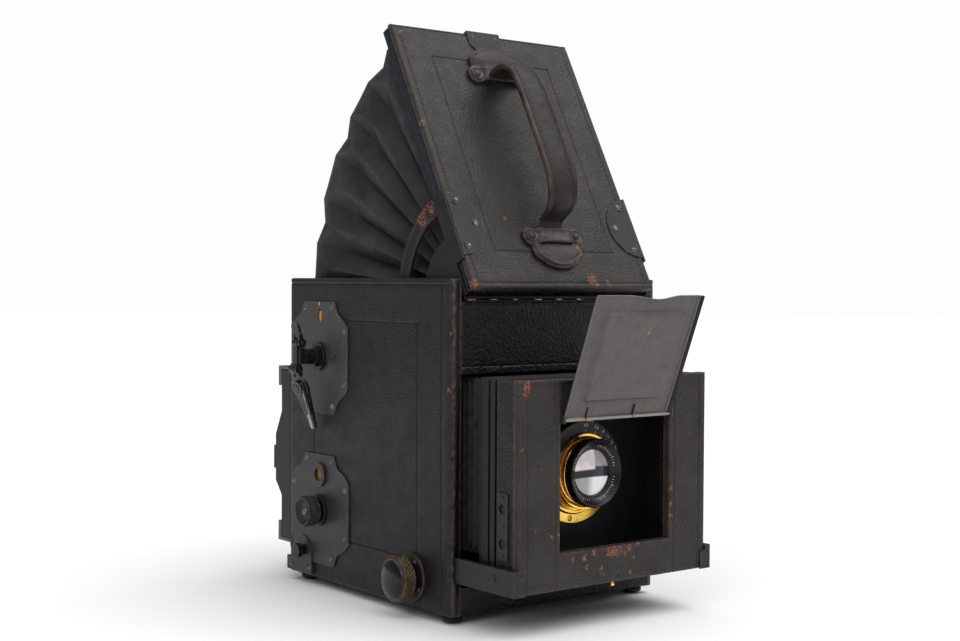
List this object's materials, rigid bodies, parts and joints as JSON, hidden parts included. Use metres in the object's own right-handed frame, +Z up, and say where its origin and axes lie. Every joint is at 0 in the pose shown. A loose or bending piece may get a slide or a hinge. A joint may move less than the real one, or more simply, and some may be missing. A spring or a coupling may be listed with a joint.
{
  "type": "box camera",
  "caption": "Single-lens reflex box camera: leather-covered box, racking lens front with flap, forward-opening lid with fan-pleated viewing hood, folding winding key and plate back.",
  "frame": {"origin": "bottom centre of the whole object, in the plane of the feet", "axes": "+Z up, -Y the way the lens looks, +X the viewer's right when facing the lens"},
  "size_m": [0.1934, 0.2926, 0.3649],
  "materials": {
    "leather_black": "pebble-grained, semi-matt",
    "leather_lid": "pebble-grained, worn glossy edges",
    "leather_handle": "smooth, worn",
    "wood_ebonised": "blackened, matt",
    "wood_inner": "stained dark, matt",
    "metal_blackened": "worn black over steel",
    "metal_key": "dark, rubbed bright on edges",
    "metal_screws": "dark, rubbed",
    "brass_lens": "lacquered, bright",
    "brass_dark": "aged, blackened",
    "lacquer_black": "gloss black lacquer on brass",
    "glass_lens": "polished",
    "glass_ground": "finely ground on one face",
    "mirror_silver": "front-silvered glass",
    "cloth_hood": "thin pleated leather cloth",
    "cloth_bellows": "pleated black cloth",
    "cloth_curtain": "rubberised black cloth",
    "flap_grey": "dark grey paint, rubbed",
    "wood_feet": "turned hard rubber"
  },
  "bodies": {
    "case": {"side_wall_left": "leather_black", "side_wall_right": "leather_black", "front_boards": "leather_black", "base_board": "leather_black", "rear_frame": "leather_black", "feet": "wood_feet", "tripod_bush": "brass_dark", "mirror_box": "wood_inner", "ground_glass": "glass_ground", "ground_glass_frame": "wood_ebonised", "curtain_plate": "metal_blackened", "tension_plate": "metal_blackened", "release_plate": "metal_blackened", "plate_screws": "metal_screws", "focus_flange": "brass_dark", "hinge_body_leaf": "brass_dark", "hinge_pin": "brass_dark", "lens_bellows": "cloth_bellows", "hood_bellows": "cloth_hood", "back_frame": "wood_ebonised", "plate_holder": "wood_ebonised", "shutter_curtain": "cloth_curtain"},
    "lid": {"lid_panel": "leather_lid", "lid_frame": "wood_ebonised", "lid_plates": "metal_blackened", "lid_arms": "metal_blackened", "handle_strap": "leather_handle", "handle_anchors": "metal_blackened", "hinge_lid_leaf": "brass_dark"},
    "front": {"front_panel": "leather_black", "front_box": "leather_black", "front_box_frame": "wood_ebonised", "lens_board": "wood_ebonised", "lens_flange": "brass_lens", "lens_barrel": "brass_lens", "lens_front_cell": "lacquer_black", "lens_glasses": "glass_lens", "focus_rails": "wood_ebonised", "focus_racks": "brass_dark", "side_hole_plate": "metal_blackened", "flap_mount": "metal_blackened"},
    "aperture_ring": {"iris_ring": "lacquer_black"},
    "flap": {"lens_flap": "flap_grey"},
    "focus_control": {"focus_knob": "brass_dark", "focus_shaft": "brass_dark"},
    "winding_key": {"winding_hub": "metal_key", "winding_gear": "brass_dark"},
    "upper_wing": {"key_wing_upper": "metal_key"},
    "lower_wing": {"key_wing_lower": "metal_key"},
    "curtain_roller": {"roller_upper": "brass_dark"},
    "spring_roller": {"roller_lower": "brass_dark"},
    "tension_control": {"tension_knob": "metal_key", "tension_disc": "brass_dark"},
    "release": {"release_button": "metal_key"},
    "mirror": {"mirror_frame": "metal_blackened", "mirror_glass": "mirror_silver", "mirror_lever": "metal_blackened"},
    "slide": {"dark_slide": "wood_ebonised"},
    "upper_lock": {"back_lock_upper": "metal_key"},
    "lower_lock": {"back_lock_lower": "metal_key"}
  },
  "joints": [
    {"name": "lid_hinge", "type": "hinge", "parent": "case", "child": "lid", "pos_m": [0.0077, -0.0627, 0.193], "axis": [1, 0, 0], "range_deg": [-62.1, 0], "deforming": ["hood_bellows"]},
    {"name": "focus_slide", "type": "slide", "parent": "case", "child": "front", "axis": [0, 1, 0], "range_m": [-0.01, 0.042], "deforming": ["lens_bellows"]},
    {"name": "focus_turn", "type": "hinge", "parent": "case", "child": "focus_control", "pos_m": [-0.0748, -0.0235, 0.0232], "axis": [1, 0, 0], "range_deg": [-490, 120]},
    {"name": "flap_hinge", "type": "hinge", "parent": "front", "child": "flap", "pos_m": [0.0077, -0.1179, 0.1232], "axis": [1, 0, 0], "range_deg": [0, 159]},
    {"name": "aperture_turn", "type": "hinge", "parent": "front", "child": "aperture_ring", "pos_m": [0.0077, -0.0867, 0.088], "axis": [0, 1, 0], "range_deg": [-40, 50]},
    {"name": "winding_turn", "type": "hinge", "parent": "case", "child": "winding_key", "pos_m": [-0.0748, 0.0808, 0.1525], "axis": [1, 0, 0], "continuous": true},
    {"name": "curtain_roller_turn", "type": "hinge", "parent": "case", "child": "curtain_roller", "pos_m": [0.0077, 0.1033, 0.1525], "axis": [1, 0, 0], "continuous": true},
    {"name": "spring_roller_turn", "type": "hinge", "parent": "case", "child": "spring_roller", "pos_m": [0.0077, 0.1033, 0.027], "axis": [1, 0, 0], "continuous": true},
    {"name": "upper_wing_fold", "type": "hinge", "parent": "winding_key", "child": "upper_wing", "pos_m": [-0.0908, 0.0808, 0.1616], "axis": [0, 1, 0], "range_deg": [-76, 0]},
    {"name": "lower_wing_fold", "type": "hinge", "parent": "winding_key", "child": "lower_wing", "pos_m": [-0.0933, 0.0808, 0.1448], "axis": [0, 1, 0], "range_deg": [0, 109]},
    {"name": "tension_turn", "type": "hinge", "parent": "case", "child": "tension_control", "pos_m": [-0.0748, 0.0803, 0.0511], "axis": [1, 0, 0], "continuous": true},
    {"name": "release_press", "type": "slide", "parent": "case", "child": "release", "axis": [1, 0, 0], "range_m": [0, 0.003], "stiffness_N_per_m": 300, "springref_m": -0.002},
    {"name": "mirror_swing", "type": "hinge", "parent": "case", "child": "mirror", "pos_m": [0.0077, 0.0773, 0.142], "axis": [1, 0, 0], "range_deg": [-45, 0]},
    {"name": "dark_slide_pull", "type": "slide", "parent": "case", "child": "slide", "axis": [1, 0, 0], "range_m": [0, 0.13]},
    {"name": "upper_lock_slide", "type": "slide", "parent": "case", "child": "upper_lock", "axis": [0, 0, 1], "range_m": [0, 0.0115]},
    {"name": "lower_lock_slide", "type": "slide", "parent": "case", "child": "lower_lock", "axis": [0, 0, -1], "range_m": [0, 0.0115]}
  ],
  "couplings": [
    {"joint": "focus_turn", "follows": "focus_slide", "rad_per_m": -200},
    {"joint": "curtain_roller_turn", "follows": "winding_turn", "ratio": -1.5},
    {"joint": "spring_roller_turn", "follows": "winding_turn", "ratio": -1.5}
  ]
}
